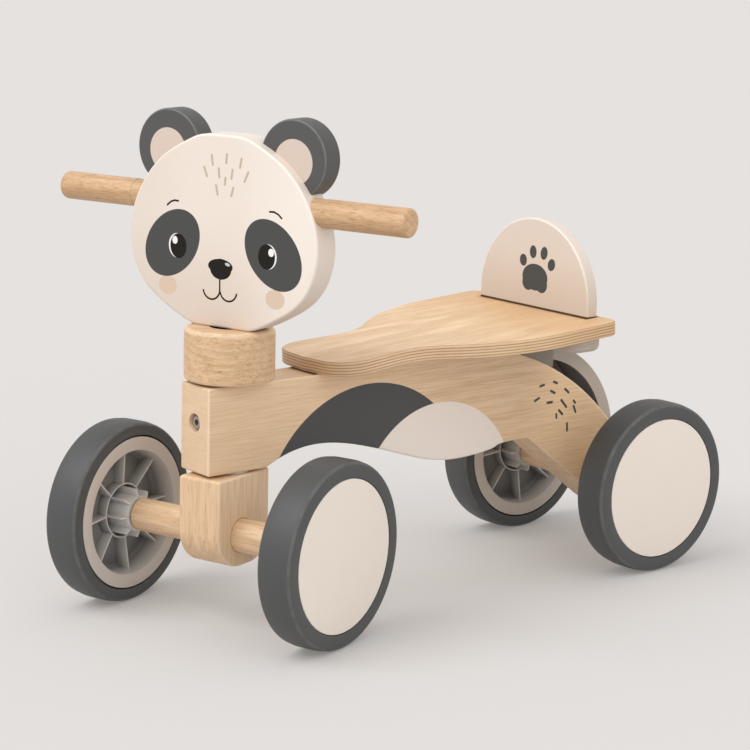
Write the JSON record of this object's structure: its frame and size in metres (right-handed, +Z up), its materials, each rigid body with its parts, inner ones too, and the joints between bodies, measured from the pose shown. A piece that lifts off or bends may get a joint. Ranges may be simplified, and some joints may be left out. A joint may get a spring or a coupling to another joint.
{
  "type": "balance bike",
  "caption": "Child's wooden balance bike with an animal-head steering plate, round handles, waisted plywood seat with a backrest, and wide ribbed wheels on wooden axles.",
  "frame": {"origin": "on the ground under the middle of the bike's bounding box", "axes": "+Z up, -Y towards the front of the bike, +X towards the rider's left; the steering stands turned 17.3 degrees towards the rider's left at rest"},
  "size_m": [0.325, 0.6036, 0.407],
  "materials": {
    "beam_wood": "clear matt lacquer",
    "block_wood": "clear matt lacquer",
    "dowel_wood": "clear matt lacquer",
    "plywood": "clear matt lacquer",
    "cream_paint": "satin paint",
    "slate_paint": "satin paint",
    "tyre": "matt",
    "hub": "fine moulded texture",
    "cream_cap": "satin",
    "taupe": "fine moulded texture",
    "steel": "satin",
    "nylon": "matt",
    "dark_cap": "matt"
  },
  "bodies": {
    "frame": {"beam": "beam_wood", "seat_board": "plywood", "seat_dowels": "dowel_wood", "backrest": "cream_paint", "backrest_screws": "steel", "seat_bridge": "taupe", "bridge_screws": "steel", "wheel_guard": "taupe", "guard_screw": "steel", "upper_bush": "nylon", "lower_bush": "nylon", "steering_limit_bolt": "steel", "limit_bolt_insert": "steel", "rear_axle": "dowel_wood", "rear_axle_pin": "dowel_wood", "rear_axle_screws": "steel", "rear_axle_washers": "steel"},
    "steering": {"collar": "block_wood", "collar_cap_disc": "dark_cap", "steering_post": "steel", "post_pins": "dowel_wood", "front_block": "block_wood", "front_axle": "dowel_wood", "front_axle_pin": "dowel_wood", "front_axle_screws": "steel", "front_axle_washers": "steel", "head": "cream_paint", "head_dowels": "dowel_wood", "ear_right": "slate_paint", "ear_left": "slate_paint", "ear_dowels": "dowel_wood", "handle_right": "dowel_wood", "handle_left": "dowel_wood", "handle_screws": "steel"},
    "front_right_wheel": {"front_right_tyre": "tyre", "front_right_hub": "hub", "front_right_hub_cap": "cream_cap"},
    "front_left_wheel": {"front_left_tyre": "tyre", "front_left_hub": "hub", "front_left_hub_cap": "cream_cap"},
    "rear_right_wheel": {"rear_right_tyre": "tyre", "rear_right_hub": "hub", "rear_right_hub_cap": "cream_cap"},
    "rear_left_wheel": {"rear_left_tyre": "tyre", "rear_left_hub": "hub", "rear_left_hub_cap": "cream_cap"}
  },
  "joints": [
    {"name": "steering_turn", "type": "hinge", "parent": "frame", "child": "steering", "pos_m": [0, -0.18767, 0], "axis": [0, 0, 1], "range_deg": [-57.3, 22.7]},
    {"name": "front_right_wheel_roll", "type": "hinge", "parent": "steering", "child": "front_right_wheel", "pos_m": [-0.09798, -0.22719, 0.075], "axis": [0.9548, 0.2974, 0], "continuous": true},
    {"name": "front_left_wheel_roll", "type": "hinge", "parent": "steering", "child": "front_left_wheel", "pos_m": [0.10309, -0.16456, 0.075], "axis": [0.9548, 0.2974, 0], "continuous": true},
    {"name": "rear_right_wheel_roll", "type": "hinge", "parent": "frame", "child": "rear_right_wheel", "pos_m": [-0.0882, 0.20183, 0.075], "axis": [1, 0, 0], "continuous": true},
    {"name": "rear_left_wheel_roll", "type": "hinge", "parent": "frame", "child": "rear_left_wheel", "pos_m": [0.0882, 0.20183, 0.075], "axis": [1, 0, 0], "continuous": true}
  ]
}
